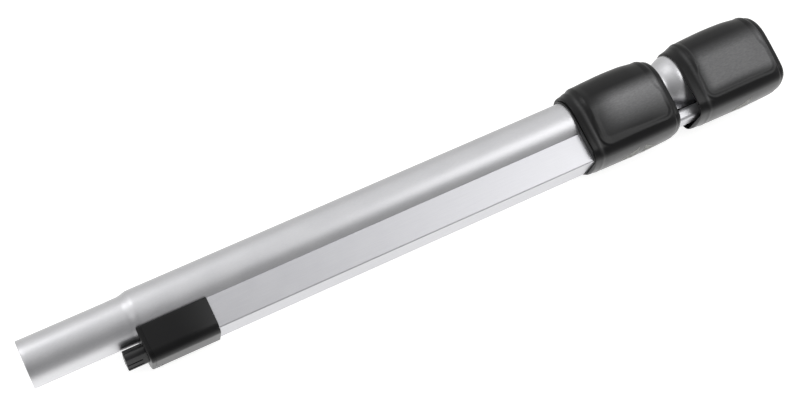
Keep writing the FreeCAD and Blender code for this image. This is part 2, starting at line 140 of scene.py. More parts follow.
# How far a cutter reaches past the piece that it cuts, and the distance under which corners are merged
PAST = 5.0
MERGE = 0.001


# Small helpers
def colour(code):
    """The linear colour of an sRGB hex code."""
    parts = [int(code[i:i + 2], 16) / 255 for i in (0, 2, 4)]
    return [p / 12.92 if p <= 0.04045 else ((p + 0.055) / 1.055) ** 2.4 for p in parts] + [1.0]


def add(tree, kind, sockets=None, **settings):
    """Adds a node with its settings; sockets gives an input its value or the output that feeds it."""
    node = tree.nodes.new(kind)
    for name, value in settings.items():
        setattr(node, name, value)
    for socket, value in (sockets or {}).items():
        if isinstance(value, bpy.types.NodeSocket):
            tree.links.new(value, node.inputs[socket])
        else:
            node.inputs[socket].default_value = value
    return node


def eased(points):
    """A smooth curve without overshoot through (place, value) points."""
    xs, ys = np.array(points, float).T
    rise = np.diff(ys) / np.diff(xs)
    turn = np.zeros(len(xs))
    turn[0], turn[-1] = rise[0], rise[-1]
    same = rise[:-1] * rise[1:] > 0
    turn[1:-1][same] = 2 / (1 / rise[:-1][same] + 1 / rise[1:][same])

    def value(x):
        i = np.clip(np.searchsorted(xs, x, side="right") - 1, 0, len(rise) - 1)
        gap = xs[i + 1] - xs[i]
        t = np.clip((x - xs[i]) / gap, 0, 1)
        return ((1 + 2 * t) * (1 - t) ** 2 * ys[i] + t * (1 - t) ** 2 * gap * turn[i]
                + t * t * (3 - 2 * t) * ys[i + 1] + t * t * (t - 1) * gap * turn[i + 1])
    return value


def ramp(x, low, high):
    """A soft step from 0 at low to 1 at high."""
    t = np.clip((x - low) / (high - low), 0, 1)
    return t * t * (3 - 2 * t)


def hump(x, middle, width):
    """A soft rise to 1 at the middle that fades over the width."""
    return np.exp(-((x - middle) / width) ** 2)


# Materials: the size of broad clouds of tone and of fine scuffs, and the range in which most of a noise lies
CLOUD_MM = 18
SCUFF_MM = 1.0
NOISE_RANGE = {"From Min": 0.3, "From Max": 0.7}


def surface(name, base, tone, grain_mm, roughness, bump_mm, stretch=(1, 1, 1), painted_sheen_and_wear=None, **settings):
    """A finish whose grain mixes two colours, varies the roughness and raises the surface a little.

    The sheen and wear argument gives the colour and roughness of a painted sheen, partly real wear, that the
    finish takes where the mesh marks it."""
    made = bpy.data.materials.new(name)
    made.use_nodes = True
    tree = made.node_tree
    tree.nodes.clear()
    place = add(tree, "ShaderNodeTexCoord").outputs["Object"]
    squeezed = add(tree, "ShaderNodeMapping", {"Vector": place, "Scale": stretch}).outputs["Vector"]
    grain = add(tree, "ShaderNodeTexNoise", {"Vector": squeezed, "Scale": 1 / (grain_mm * MM), "Detail": 3.0})
    clouds = add(tree, "ShaderNodeTexNoise", {"Vector": place, "Scale": 1 / (CLOUD_MM * MM), "Detail": 2.0})
    both = add(tree, "ShaderNodeMix", {"Factor": 0.35, "A": grain.outputs["Fac"], "B": clouds.outputs["Fac"]})
    shade = add(tree, "ShaderNodeMapRange", {"Value": both.outputs[0], **NOISE_RANGE})
    paint = add(tree, "ShaderNodeMix", {"Factor": shade.outputs[0], "A": colour(base), "B": colour(tone)},
                data_type="RGBA").outputs["Result"]
    rough = add(tree, "ShaderNodeMapRange", {"Value": both.outputs[0], **NOISE_RANGE, "To Min": roughness[0],
                                             "To Max": roughness[1]}).outputs[0]
    # Painted sheen and wear: a lighter, smoother colour mixed in where the mesh's mask is high, broken up by
    # fine scuffs
    if painted_sheen_and_wear:
        sheen_and_wear_mask = add(tree, "ShaderNodeAttribute", attribute_name="painted_sheen_and_wear").outputs["Fac"]
        drawn = add(tree, "ShaderNodeMapping", {"Vector": place, "Rotation": (0, 0, 0.5),
                                                "Scale": (0.4, 1, 1)})
        fine = add(tree, "ShaderNodeTexNoise", {"Vector": drawn.outputs[0], "Scale": 1 / (SCUFF_MM * MM),
                                                "Detail": 4.0})
        scuff = add(tree, "ShaderNodeMapRange", {"Value": fine.outputs["Fac"], "From Min": 0.35,
                                                 "From Max": 0.75, "To Min": 0.86, "To Max": 1.14})
        sheen_and_wear_mask = add(tree, "ShaderNodeMath", {0: sheen_and_wear_mask, 1: scuff.outputs[0]}, operation="MULTIPLY").outputs[0]
        paint = add(tree, "ShaderNodeMix", {"Factor": sheen_and_wear_mask, "A": paint, "B": colour(painted_sheen_and_wear[0])},
                    data_type="RGBA").outputs["Result"]
        rough = add(tree, "ShaderNodeMix", {"Factor": sheen_and_wear_mask, "A": rough, "B": painted_sheen_and_wear[1]}).outputs[0]
    raised = add(tree, "ShaderNodeBump", {"Strength": 1.0, "Distance": bump_mm * MM,
                                          "Height": grain.outputs["Fac"]})
    body = add(tree, "ShaderNodeBsdfPrincipled", {"Base Color": paint, "Roughness": rough,
                                                  "Normal": raised.outputs["Normal"], **settings})
    add(tree, "ShaderNodeOutputMaterial", {"Surface": body.outputs["BSDF"]})
    return made


# Satin anodised tube: its etched grain, 0.05 mm in life and drawn at 0.3 mm, blurs reflections into bands
tube_metal = surface("anodised_aluminium_tube", "CDCDD0", "D7D7D9", 0.3, (0.40, 0.46), 0.004, (0.12, 1, 1),
                     Metallic=1.0)
# Extruded channel: the same anodising over faint lines from the die, so its flat face glows evenly
channel_metal = surface("anodised_aluminium_extrusion", "C3C3C7", "CCCCCF", 0.35, (0.40, 0.46), 0.005,
                        (0.02, 1, 1), Metallic=1.0)
# Grips: grained ABS, near black, with a painted sheen, partly wear, greyer and smoother on the panels so that
# they take a wide soft shine
grip_black = surface("grained_abs", "0C0C0D", "121213", 0.3, (0.30, 0.36), 0.006, painted_sheen_and_wear=("7C7C7D", 0.30),
                     **{"IOR": 1.5, "Specular IOR Level": 0.27})
# Barrel: smooth moulded ABS, black and glossy enough to mirror the tube beside it
plug_black = surface("smooth_abs", "1E1E1F", "262627", 1.2, (0.22, 0.28), 0.002, IOR=1.5)
# Liner and inlet: plain moulded polypropylene, dull black and a little waxy
liner_black = surface("moulded_polypropylene", "101011", "161617", 0.5, (0.45, 0.55), 0.004, IOR=1.49)
# Sliding rings: natural acetal, pale grey and faintly translucent to the eye
bush_grey = surface("acetal", "9A9C9E", "A6A8AA", 0.6, (0.35, 0.45), 0.003, IOR=1.48)
# Cord and seals: matte black rubber with a dusty bloom
cord_rubber = surface("black_rubber", "151515", "1F1F1E", 0.4, (0.60, 0.72), 0.006, IOR=1.52)
# Contacts: drawn brass, warm yellow with fine lines along the pin
contact_brass = surface("drawn_brass", "C9A55A", "D4B169", 0.2, (0.25, 0.35), 0.002, (0.1, 1, 1),
                        Metallic=1.0)
# Screw and spring: zinc-plated steel, cool grey with a soft shine
spring_steel = surface("zinc_plated_steel", "A7A9AC", "B8BABD", 0.25, (0.28, 0.38), 0.002, Metallic=1.0)
# Seal: pressed wool felt, grey fibres without any shine
seal_felt = surface("wool_felt", "77746E", "8C8982", 0.35, (0.85, 0.95), 0.05, IOR=1.5)
# Arrow marks: pale pad printing, slightly worn
print_grey = surface("pad_print", "E6E6E2", "F0F0EC", 0.3, (0.5, 0.6), 0.002, IOR=1.5)


# Forms
def piece(name, form, finish):
    """A linked object of a finished bmesh."""
    mesh = bpy.data.meshes.new(name)
    form.to_mesh(mesh)
    form.free()
    made = bpy.data.objects.new(name, mesh)
    scene.collection.objects.link(made)
    mesh.materials.append(finish)
    return made


def soften(made, limit=32):
    """Merges loose corners and shades smoothly, with edges sharp where faces meet at over limit degrees."""
    form = bmesh.new()
    form.from_mesh(made.data)
    bmesh.ops.remove_doubles(form, verts=form.verts, dist=MERGE * MM)
    bmesh.ops.recalc_face_normals(form, faces=form.faces)
    for face in form.faces:
        face.smooth = True
    for edge in form.edges:
        edge.smooth = len(edge.link_faces) == 2 and edge.calc_face_angle(0) < math.radians(limit)
    form.to_mesh(made.data)
    form.free()
    return made


def rings_form(rings, closed):
    """A skin over rings of points in millimetres; closed joins the last to the first, or else caps both."""
    form = bmesh.new()
    rows = [[form.verts.new(Vector(p) * MM) for p in ring] for ring in rings]
    pairs = list(zip(rows, rows[1:] + rows[:1])) if closed else list(zip(rows, rows[1:]))
    for first, second in pairs:
        for i in range(len(first)):
            j = (i + 1) % len(first)
            form.faces.new((first[i], first[j], second[j], second[i]))
    if not closed:
        form.faces.new(rows[0])
        form.faces.new(rows[-1])
    bmesh.ops.recalc_face_normals(form, faces=form.faces)
    return form


def turned(name, profile, finish, sides=192):
    """A ring-shaped piece turned about the wand's axis from a closed (x, radius) outline."""
    angles = [2 * math.pi * i / sides for i in range(sides)]
    rings = [[(x, r * math.cos(a), r * math.sin(a)) for a in angles] for x, r in profile]
    return soften(piece(name, rings_form(rings, True), finish))


def s_curve(x_from, r_from, x_to, r_to, steps=28):
    """Points of a soft change of radius."""
    return [(x_from + (x_to - x_from) * t, r_from + (r_to - r_from) * (t * t * (3 - 2 * t)))
            for t in np.linspace(0, 1, steps)]


def rounded(corners, steps=10):
    """A closed (y, z) outline whose corners, given as (y, z, radius), are rounded."""
    points = []
    for i, (y, z, radius) in enumerate(corners):
        here = Vector((y, z))
        before = (Vector(corners[i - 1][:2]) - here).normalized()
        after = (Vector(corners[(i + 1) % len(corners)][:2]) - here).normalized()
        half = before.angle(after) / 2
        middle = here + (before + after).normalized() * radius / math.sin(half)
        first = here + before * radius / math.tan(half)
        last = here + after * radius / math.tan(half)
        for t in np.linspace(0, 1, steps):
            along = (first.lerp(last, t) - middle).normalized()
            points.append(tuple(middle + along * radius))
    return points


def box_edge(low, high, half, corner, top_corner=None, steps=10):
    """The (y, z) outline of a box with rounded corners, the upper pair like the lower one or as given."""
    top = corner if top_corner is None else top_corner
    return rounded([(low, -half, corner), (high, -half, top), (high, half, top), (low, half, corner)], steps)


def circle(radius, y=0.0, z=0.0, sides=160):
    """A round (y, z) outline."""
    angles = [2 * math.pi * i / sides for i in range(sides)]
    return [(y + radius * math.cos(a), z + radius * math.sin(a)) for a in angles]


def arch(radius, bottom, corner, sides=72, steps=10):
    """The (y, z) outline of a round-topped passage."""
    quarter = math.pi / 2
    top = [(radius * math.cos(a), radius * math.sin(a)) for a in np.linspace(-quarter, quarter, sides)]
    sharp = 0.01
    foot = rounded([(0, -radius, sharp), (0, radius, sharp), (bottom, radius, corner),
                    (bottom, -radius, corner)], steps)
    return top + foot[2 * steps:]


def prism(name, outline, x_from, x_to, finish=liner_black):
    """A bar of the outline between two places along the wand."""
    rings = [[(x, y, z) for y, z in outline] for x in (x_from, x_to)]
    return piece(name, rings_form(rings, False), finish)


def worked(made):
    """The object with its modifiers worked into its mesh."""
    bpy.context.view_layer.update()
    shaped = made.evaluated_get(bpy.context.evaluated_depsgraph_get())
    mesh = bpy.data.meshes.new_from_object(shaped)
    made.modifiers.clear()
    made.data = mesh
    return made


def cut(made, cutters):
    """The object with the cutters taken out of it."""
    for cutter in cutters:
        taken = made.modifiers.new(cutter.name, "BOOLEAN")
        taken.operation = "DIFFERENCE"
        taken.solver = "EXACT"
        taken.object = cutter
    worked(made)
    for cutter in cutters:
        bpy.data.objects.remove(cutter)
    return made


def settle(made, body, slot, *replaced):
    """Fixes a finished piece to its body and hides the CAD nodes that it stands for; slot is not used."""
    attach(made, body)
    if replaced:
        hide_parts(*replaced)
    return made


def from_cad(node, body, slot, finish):
    """A smooth copy of a CAD node, merged and shaded for the eye."""
    made = bpy.data.objects.new(node + "_skin", nodes[node].data.copy())
    scene.collection.objects.link(made)
    made.data.materials.clear()
    made.data.materials.append(finish)
    return settle(soften(made), body, slot, node)


# Outer tube: a spigot with a softened mouth, given as places and drops, then the shoulder and the full tube
mouth = [(0.0, 0.35), (0.12, 0.1), (0.4, 0.0)]
outer = [(x, SPIGOT - drop) for x, drop in mouth]
outer += [(x, SPIGOT) for x in np.linspace(4, SHOULDER[0], 15)]
outer += s_curve(SHOULDER[0], SPIGOT, SHOULDER[1], SPIGOT + SHOULDER_SWELL, 10)[1:]
outer += s_curve(SHOULDER[1], SPIGOT + SHOULDER_SWELL, SHOULDER[2], TUBE)[1:]
outer += [(x, TUBE) for x in np.linspace(SHOULDER[2] + 8, TUBE_ENDS[1], 40)]
inside = [(x, r - TUBE_WALL) for x, r in reversed(outer[2:])]
inside += [(x, SPIGOT - TUBE_WALL + drop) for x, drop in mouth[1:2]]
settle(turned("wand_tube", outer + inside, tube_metal), "outer", "tube_aluminium", "outer_tube")

# Inner tube: a plain neck that flares to the bell
outer = [(x, NECK) for x in np.linspace(INNER_ENDS[0], FLARE[0], 40)]
outer += s_curve(FLARE[0], NECK, FLARE[1], BELL, 40)[1:]
outer += [(x, BELL) for x in np.linspace(FLARE[1] + 5.5, INNER_ENDS[1], 8)]
inside = [(x, r - INNER_WALL) for x, r in reversed(outer)]
settle(turned("sliding_tube", outer + inside, tube_metal), "inner", "tube_aluminium", "inner_tube")


# Grips
def grip_half(top, foot, bottom):
    """Half of a grip's outline, from the middle of the top round +Z to the middle of the bottom, as (y, z)."""
    heel_y = bottom + BELLY_RISE - HEEL * math.cos(HEEL_END)
    inset = top - foot
    reach = (heel_y ** 2 + inset ** 2) / (2 * inset)
    lean = math.asin(-heel_y / reach)
    side = reach + HEEL
    end_z = foot - HEEL * (1 - math.sin(HEEL_END))
    belly = (end_z ** 2 + BELLY_RISE ** 2) / (2 * BELLY_RISE)
    points = [(top * math.cos(a), top * math.sin(a)) for a in np.linspace(0, math.pi / 2, 56)[:-1]]
    points += [(-side * math.sin(a), top - side * (1 - math.cos(a))) for a in np.linspace(0, lean, 44)[:-1]]
    points += [(heel_y + HEEL * math.cos(a), foot - HEEL * (1 - math.sin(a)))
               for a in np.linspace(math.pi / 2 + lean, HEEL_END, 28)[:-1]]
    points += [(bottom + belly * (1 - math.cos(a)), belly * math.sin(a))
               for a in np.linspace(math.asin(end_z / belly), 0, 16)]
    return np.array(points)


def grip_skin(x_from, x_to, slope, flat, ridge):
    """Rings of a grip: lip, crest, crowned body with a sunk panel over top and sides, and a narrower rim."""
    length = x_to - x_from
    # At each place behind the lip, how far top, foot and belly lie inside their full size
    fall = [(0, 4.3, 0.5, 1.1), (0.35, 3.95, 0.2, 0.8), (3, 3.4, 0.15, 0.6), (7.5, 2.4, 0.1, 0.4),
            (12.5, 0.75, 0.0, 0.1), (24, 0.0, 0.0, 0.0), (40, -0.45, 0.0, -0.1), (52, -0.2, 0.0, 0.0),
            (length - 11, 1.1, 0.15, 0.3), (length - 5.3, 2.0, 0.4, 0.7), (length - 4.5, 3.1, 0.7, 1.2),
            (length - 2.5, 3.4, 0.9, 1.5), (length - 1.0, 4.0, 1.3, 2.0), (length - 0.3, 4.7, 1.8, 2.6),
            (length, 5.3, 2.4, 3.3)]
    falls = [eased([(row[0], row[i]) for row in fall]) for i in (1, 2, 3)]
    # Rings lie closer at the lip and at the rim
    places = np.unique(np.concatenate([np.linspace(0, 16, 36), np.linspace(16, length - 12, 60),
                                       np.linspace(length - 12, length, 44), [0.12, 0.35]]))
    rings = []
    for x in places:
        line = grip_half(GRIP_TOP - falls[0](x), GRIP_FOOT - falls[1](x), BELLY + falls[2](x))
        height = line[:, 0]
        ahead = np.gradient(line, axis=0)
        out = np.stack([ahead[:, 1], -ahead[:, 0]], 1)
        out /= np.linalg.norm(out, axis=1)[:, None]
        out[0], out[-1] = (1, 0), (-1, 0)
        # Distance outside the panel, whose ends bend outwards on the flat of the side
        run = np.concatenate([[0], np.cumsum(np.linalg.norm(np.diff(line, axis=0), axis=1))])
        edge = np.interp(PANEL_LOW, -height, run)
        bend = PANEL_BEND * ramp(-height, 1, 9)
        across = np.maximum(PANEL_FRONT - bend - x, x - (length - PANEL_REAR + bend)) + PANEL_CORNER
        down = run - edge + PANEL_CORNER
        apart = np.hypot(np.maximum(across, 0), np.maximum(down, 0)) + np.minimum(
            np.maximum(across, down), 0) - PANEL_CORNER
        depth = PANEL_DEPTH - PANEL_TOP_LOSS * ramp(height, 12, 24) + flat * hump(height, -6, 11)
        wide = slope + (PANEL_REAR_SLOPE - slope) * ramp(x, 15, length - 15)
        relief = -depth * ramp(-apart, -0.2, wide) + BEAD * hump(apart, 1.3, 1.0)
        relief += RIDGE * hump(x, ridge, 1.4)
        line = line + out * (relief * ramp(np.full(len(line), x), 1.0, 4.0))[:, None]
        whole = np.concatenate([line, (line * (1, -1))[-2:0:-1]])
        rings.append([(x_from + x, y, z) for y, z in whole])
    return rings


def mark_sheen_and_wear(made, x_from, x_to, ridge, panel_sheen, full, low, high):
    """Marks a grip for its finish's painted sheen and wear: painted sheen, partly wear, on its panels, painted
    reflection of the floor on its belly and a painted highlight on the ridge at its lip.

    The panel share gives the sheen and wear of the panels, full how far behind the lip they reach it, and low
    and high are the places across the wand between which that sheen comes and goes."""
    spots = np.empty(len(made.data.vertices) * 3)
    made.data.vertices.foreach_get("co", spots)
    x, y, z = spots.reshape(-1, 3).T / MM
    # Painted sheen on the panels, partly wear, lying across the wand where the light shines on them
    sheen_and_wear_share = panel_sheen * ramp(x, x_from + 9, x_from + full) * (1 - ramp(x, x_to - 8, x_to - 3))
    sheen_and_wear_share *= ramp(y, *low) * (1 - ramp(y, *high)) * ramp(np.abs(z), 10, 16)
    # Painted reflection of the floor: the belly lighter
    sheen_and_wear_share += BELLY_PAINTED_REFLECTION * ramp(-y, 33.5, 38)
    # Painted highlight on the ridge at the lip
    sheen_and_wear_share += RIDGE_PAINTED_HIGHLIGHT * hump(x, x_from + ridge, 1.3) * ramp(y, -36, -28) * (1 - ramp(y, 8, 20))
    painted_sheen_and_wear = made.data.attributes.new("painted_sheen_and_wear", "FLOAT", "POINT")
    painted_sheen_and_wear.data.foreach_set("value", sheen_and_wear_share)


def grip(name, x_from, x_to, slope, flat, ridge, sheen_and_wear, cutters):
    """A grip moulded as one shell round its passage.

    slope is the width of the panel's slope at the lip, flat how much deeper the panel is on the flat of the
    sides, and ridge how far the ridge lies behind the lip."""
    solid = piece(name, rings_form(grip_skin(x_from, x_to, slope, flat, ridge), False), grip_black)
    made = soften(cut(solid, cutters), 38)
    mark_sheen_and_wear(made, x_from, x_to, ridge, **sheen_and_wear)
    return made


# Release grip: its rear wall has a step for the clamp, a mouth for the inner tube and a window for the conduit
passage = arch(PASSAGE, PASSAGE_FLOOR, PASSAGE_CORNER)
before_wall = 480.0
lower_grip = grip(
    "lower_grip", *SLEEVE, slope=4.6, flat=0.0, ridge=6.0,
    sheen_and_wear={"panel_sheen": 1.0, "full": 36, "low": (-27, 2), "high": (-2, 11)},
    cutters=[prism("passage", passage, SLEEVE[0] - PAST, SLEEVE_WALL),
             prism("step", circle(COLLET), before_wall, SLEEVE_STEP_END),
             prism("mouth", circle(SLEEVE_MOUTH), before_wall, SLEEVE[1] + PAST),
             prism("window", box_edge(-33.4, -22.7, 10.6, 1.8), before_wall, SLEEVE[1] + PAST)])
settle(lower_grip, "sleeve", "grip_black", "release_sleeve")

# Upper grip: its rear wall has a socket for the hose handle and an opening for the inlet
before_wall = 580.0
top_grip = grip(
    "top_grip", *UPPER, slope=2.2, flat=0.5, ridge=8.0,
    sheen_and_wear={"panel_sheen": 0.67, "full": 19, "low": (-27, -19), "high": (-2, 14)},
    cutters=[prism("passage", passage, UPPER[0] - PAST, UPPER_WALL),
             prism("socket", circle(SOCKET_MOUTH), before_wall, UPPER[1] + PAST),
             prism("inlet", box_edge(-32.15, -23.95, 9.5, 2.5), before_wall, UPPER[1] + PAST)])
settle(top_grip, "inner", "grip_black", "upper_grip")


def arrow(name, grip_made, tip, base, body):
    """A thin printed arrow head that lies on the belly of a grip."""
    belly = BVHTree.FromPolygons([v.co for v in grip_made.data.vertices],
                                 [p.vertices for p in grip_made.data.polygons])
    gap = Vector((0, PRINT_GAP * MM, 0))
    form = bmesh.new()
    rows = []
    for t in np.linspace(0.02, 1, 10):
        row = []
        for z in ARROW_HALF * t * np.linspace(-1, 1, 13):
            below = Vector((tip + (base - tip) * t, -60, z)) * MM
            row.append(form.verts.new(belly.ray_cast(below, Vector((0, 1, 0)))[0] - gap))
        rows.append(row)
    for first, second in zip(rows, rows[1:]):
        for i in range(len(first) - 1):
            form.faces.new((first[i], first[i + 1], second[i + 1], second[i]))
    bmesh.ops.solidify(form, geom=form.faces[:], thickness=PRINT_THICK * MM)
    bmesh.ops.recalc_face_normals(form, faces=form.faces)
    settle(piece(name, form, print_grey), body, "grip_black")


arrow("arrow_down", lower_grip, 447.0, 463.0, "sleeve")
arrow("arrow_up", lower_grip, 481.0, 468.0, "sleeve")
arrow("arrow_top", top_grip, 545.0, 561.0, "inner")

# Plug cap: a rounded box whose front edge is soft, with a seam behind it and a belly that is set back a little
cap = np.array(box_edge(CAP_BELLY, CAP_TOP, CAP_HALF, 8.0, 1.2, 14))
cap_middle = np.array((-23.5, 0.0))
cap_reach = np.array((13.0, CAP_HALF))
rings = []
for x, inset in ((0, 0.9), (0.12, 0.55), (0.4, 0.25), (1.0, 0), (2.9, 0), (3.0, 0.25), (3.3, 0.25), (3.4, 0),
                 (6, 0), (9, 0), (26, 0), (51.2, 0), (51.75, 0.2), (52, 0.6)):
    sized = cap_middle + (cap - cap_middle) * (1 - inset / cap_reach)
    back = CAP_SET_BACK * ramp(-sized[:, 0], 24, -CAP_BELLY) * (1 - ramp(np.full(len(sized), x), 0, 9))
    rings.append([(HOUSING[0] + x + b, y, z) for b, (y, z) in zip(back, sized)])
screw_hole = [(-38, SCREW_Z - SCREW_HEAD), (-34, SCREW_Z - SCREW_HEAD), (-34, SCREW_Z + SCREW_HEAD),
              (-38, SCREW_Z + SCREW_HEAD)]
housing = cut(piece("plug_cap", rings_form(rings, False), grip_black), [
    prism("saddle", circle(TUBE + 0.05), HOUSING[0] - PAST, HOUSING[1] + PAST),
    prism("hollow", box_edge(-34.35, 0, 16.05, 1.2), 85.0, HOUSING[1] + PAST),
    prism("barrel_hole", circle(BARREL_NECK, BARREL_Y), HOUSING[0] - PAST, 86.0),
    prism("screw_hole", screw_hole, SCREW_X - SCREW_HEAD, SCREW_X + SCREW_HEAD)])
settle(soften(housing), "outer", "grip_black", "plug_housing")


# Trees that repeat or wind
def tree_with(name, sockets):
    """A geometry tree with named inputs, and the sockets that hand those inputs on."""
    tree = bpy.data.node_groups.new(name, "GeometryNodeTree")
    tree.interface.new_socket(name="Geometry", in_out="OUTPUT", socket_type="NodeSocketGeometry")
    for label, kind in sockets:
        tree.interface.new_socket(name=label, in_out="INPUT", socket_type="NodeSocket" + kind)
    return tree, add(tree, "NodeGroupInput").outputs


def ending(tree, geometry, finish):
    """Ends a tree with plain geometry that carries its material."""
    real = add(tree, "GeometryNodeRealizeInstances", {"Geometry": geometry})
    done = add(tree, "GeometryNodeSetMaterial", {"Geometry": real.outputs[0], "Material": finish})
    add(tree, "NodeGroupOutput", {"Geometry": done.outputs[0]})


def grown(name, tree, settings):
    """The plain object that a tree makes from its named inputs."""
    made = bpy.data.objects.new(name, bpy.data.meshes.new(name))
    scene.collection.objects.link(made)
    grow = made.modifiers.new("grow", "NODES")
    grow.node_group = tree
    for item in tree.interface.items_tree:
        if item.in_out == "INPUT":
            grow[item.identifier] = settings[item.name]
    return worked(made)


# Coil: a round wire wound about the X axis
coil, given = tree_with("coil", [("Turns", "Float"), ("Coil radius", "Float"), ("Wire radius", "Float"),
                                 ("Length", "Float"), ("Start", "Vector"), ("Material", "Material")])
wound = add(coil, "GeometryNodeCurveSpiral", {"Resolution": 16, "Rotations": given["Turns"],
                                              "Start Radius": given["Coil radius"],
                                              "End Radius": given["Coil radius"], "Height": given["Length"]})
laid = add(coil, "GeometryNodeTransform", {"Geometry": wound.outputs[0], "Translation": given["Start"],
                                           "Rotation": (0, math.pi / 2, 0)})
wire = add(coil, "GeometryNodeCurvePrimitiveCircle", {"Resolution": 8, "Radius": given["Wire radius"]})
tube = add(coil, "GeometryNodeCurveToMesh", {"Curve": laid.outputs[0], "Profile Curve": wire.outputs[0],
                                             "Fill Caps": True})
ending(coil, tube.outputs[0], given["Material"])

# Bars: straight bars along X at an even step round an axis, spread to both sides of the channel's direction
bars, given = tree_with("bars", [("Count", "Int"), ("Step", "Float"), ("Ring radius", "Float"),
                                 ("Bar", "Vector"), ("Centre", "Vector"), ("Material", "Material")])
index = add(bars, "GeometryNodeInputIndex").outputs[0]
last = add(bars, "ShaderNodeMath", {0: given["Count"], 1: 1.0}, operation="SUBTRACT")
middle = add(bars, "ShaderNodeMath", {0: last.outputs[0], 1: 0.5}, operation="MULTIPLY")
away = add(bars, "ShaderNodeMath", {0: index, 1: middle.outputs[0]}, operation="SUBTRACT")
angle = add(bars, "ShaderNodeMath", {0: away.outputs[0], 1: given["Step"]}, operation="MULTIPLY")
low = add(bars, "ShaderNodeMath", {0: angle.outputs[0]}, operation="COSINE")
side = add(bars, "ShaderNodeMath", {0: angle.outputs[0]}, operation="SINE")
turn = add(bars, "ShaderNodeMath", {0: angle.outputs[0], 1: -1.0}, operation="MULTIPLY")
down = add(bars, "ShaderNodeMath", {0: low.outputs[0], 1: -1.0}, operation="MULTIPLY")
spoke = add(bars, "ShaderNodeCombineXYZ", {"Y": down.outputs[0], "Z": side.outputs[0]})
reach = add(bars, "ShaderNodeVectorMath", {0: spoke.outputs[0], "Scale": given["Ring radius"]},
            operation="SCALE")
spot = add(bars, "ShaderNodeVectorMath", {0: reach.outputs[0], 1: given["Centre"]}, operation="ADD")
dots = add(bars, "GeometryNodePoints", {"Count": given["Count"], "Position": spot.outputs[0]})
bar = add(bars, "GeometryNodeMeshCube", {"Size": given["Bar"]})
spin = add(bars, "ShaderNodeCombineXYZ", {"X": turn.outputs[0]})
facing = add(bars, "FunctionNodeEulerToRotation", {"Euler": spin.outputs[0]})
placed = add(bars, "GeometryNodeInstanceOnPoints", {"Points": dots.outputs[0], "Instance": bar.outputs[0],
                                                    "Rotation": facing.outputs[0]})
ending(bars, placed.outputs[0], given["Material"])

# Barrel: a rounded wedge, wide beside the tube and narrow at the belly. Its sizes along X, as shares of that
# section, give a soft front edge, the body, and a neck through the cap to the foot behind
top, waist, belly = -21.3, -26.75, -33.0
wide, narrow = 9.4, 1.2
wedge = np.array(rounded([(top, -wide, 3.6), (top, wide, 3.6), (waist, wide, 3.5), (belly, narrow, 0.8),
                          (belly, -narrow, 0.8), (waist, -wide, 3.5)]))
barrel_middle = np.array((BARREL_Y, 0.0))
rings = [[(x, *spot) for spot in barrel_middle + (wedge - barrel_middle) * size]
         for x, size in ((61.5, 0.92), (61.65, 0.965), (62.1, 1.0), (76.9, 1.0), (76.95, 0.56), (79.0, 0.56))]
barrel = piece("barrel", rings_form(rings, False), plug_black)
grooves = grown("grooves", bars, {"Count": 4, "Step": math.radians(35.3), "Ring radius": 5.6 * MM,
                                  "Bar": (22 * MM, 2.2 * MM, 0.9 * MM), "Centre": (62 * MM, BARREL_Y * MM, 0),
                                  "Material": plug_black})
foot_edge = box_edge(*span("plug_barrel", "y"), span("plug_barrel", "z")[1], 1)
base = prism("barrel_foot", foot_edge, 78.9, span("plug_barrel")[1], plug_black)
contact_holes = [prism("hole", circle(CONTACT_HOLE, BARREL_Y, z, 32), 60, 90) for z in (-CONTACT_Z, CONTACT_Z)]
cut(barrel, [grooves] + contact_holes)
settle(soften(barrel), "outer", "plug_black", "plug_barrel")
settle(soften(base), "outer", "plug_black")
# A flat black block between barrel and tube, a stand-in for shade: it darkens the tube's reflection above the
# barrel
key = prism("barrel_dark_stand_in", box_edge(-22, -19.1, 4.5, 0.3, 0.9), 62.0, 75.9, plug_black)
settle(soften(key), "outer", "plug_black")


# Screw in the cap's underside, turned about X, stood on end and cut with a cross recess
def blade(half_length, half_mouth, half_bottom):
    """A cutter for one arm of the cross, which narrows from the recess's mouth to its bottom."""
    mouth_y, bottom_y = -40, -35.6
    edge = [(mouth_y, SCREW_Z - half_mouth), (bottom_y, SCREW_Z - half_bottom),
            (bottom_y, SCREW_Z + half_bottom), (mouth_y, SCREW_Z + half_mouth)]
    return prism("blade", edge, SCREW_X - half_length, SCREW_X + half_length)


head = [(-36.5, 0.01), (-36.5, 1.9), (-36.4, 2.3), (-36.1, SCREW_HEAD), (-35.25, SCREW_HEAD), (-35.25, 1.5),
        (-29.8, 1.5), (-29.25, 0.9), (-29.25, 0.01)]
screw = turned("cap_screw", head, spring_steel, 40)
stand = Matrix.Rotation(math.pi / 2, 4, "Z")
screw.data.transform(Matrix.Translation((SCREW_X * MM, 0, SCREW_Z * MM)) @ stand)
cut(screw, [blade(1.5, 0.3, 0.2), blade(0.3, 1.5, 1.2)])
settle(soften(screw), "outer", "spring_steel", "housing_screw")

# Curly cord between the two ends, which stretches when the wand is drawn out; here it is one fixed coil
cord = grown("curly_cord", coil, {"Turns": 178.0, "Coil radius": 2.25 * MM, "Wire radius": 1.15 * MM,
                                  "Length": 475.5 * MM, "Start": (88.3 * MM, CORD_Y * MM, 0),
                                  "Material": cord_rubber})
soften(cord, 80)
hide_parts("coil_cord")
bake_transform(cord)

# Spring that centres the release grip and is squashed when the grip slides; here it is one fixed coil
spring = grown("centring_spring", coil, {"Turns": 9.7, "Coil radius": 1.65 * MM, "Wire radius": 0.25 * MM,
                                         "Length": 19.4 * MM, "Start": (444.3 * MM, 23.2 * MM, 0),
                                         "Material": spring_steel})
settle(soften(spring, 80), "outer", "spring_steel", "return_spring")
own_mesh(spring)

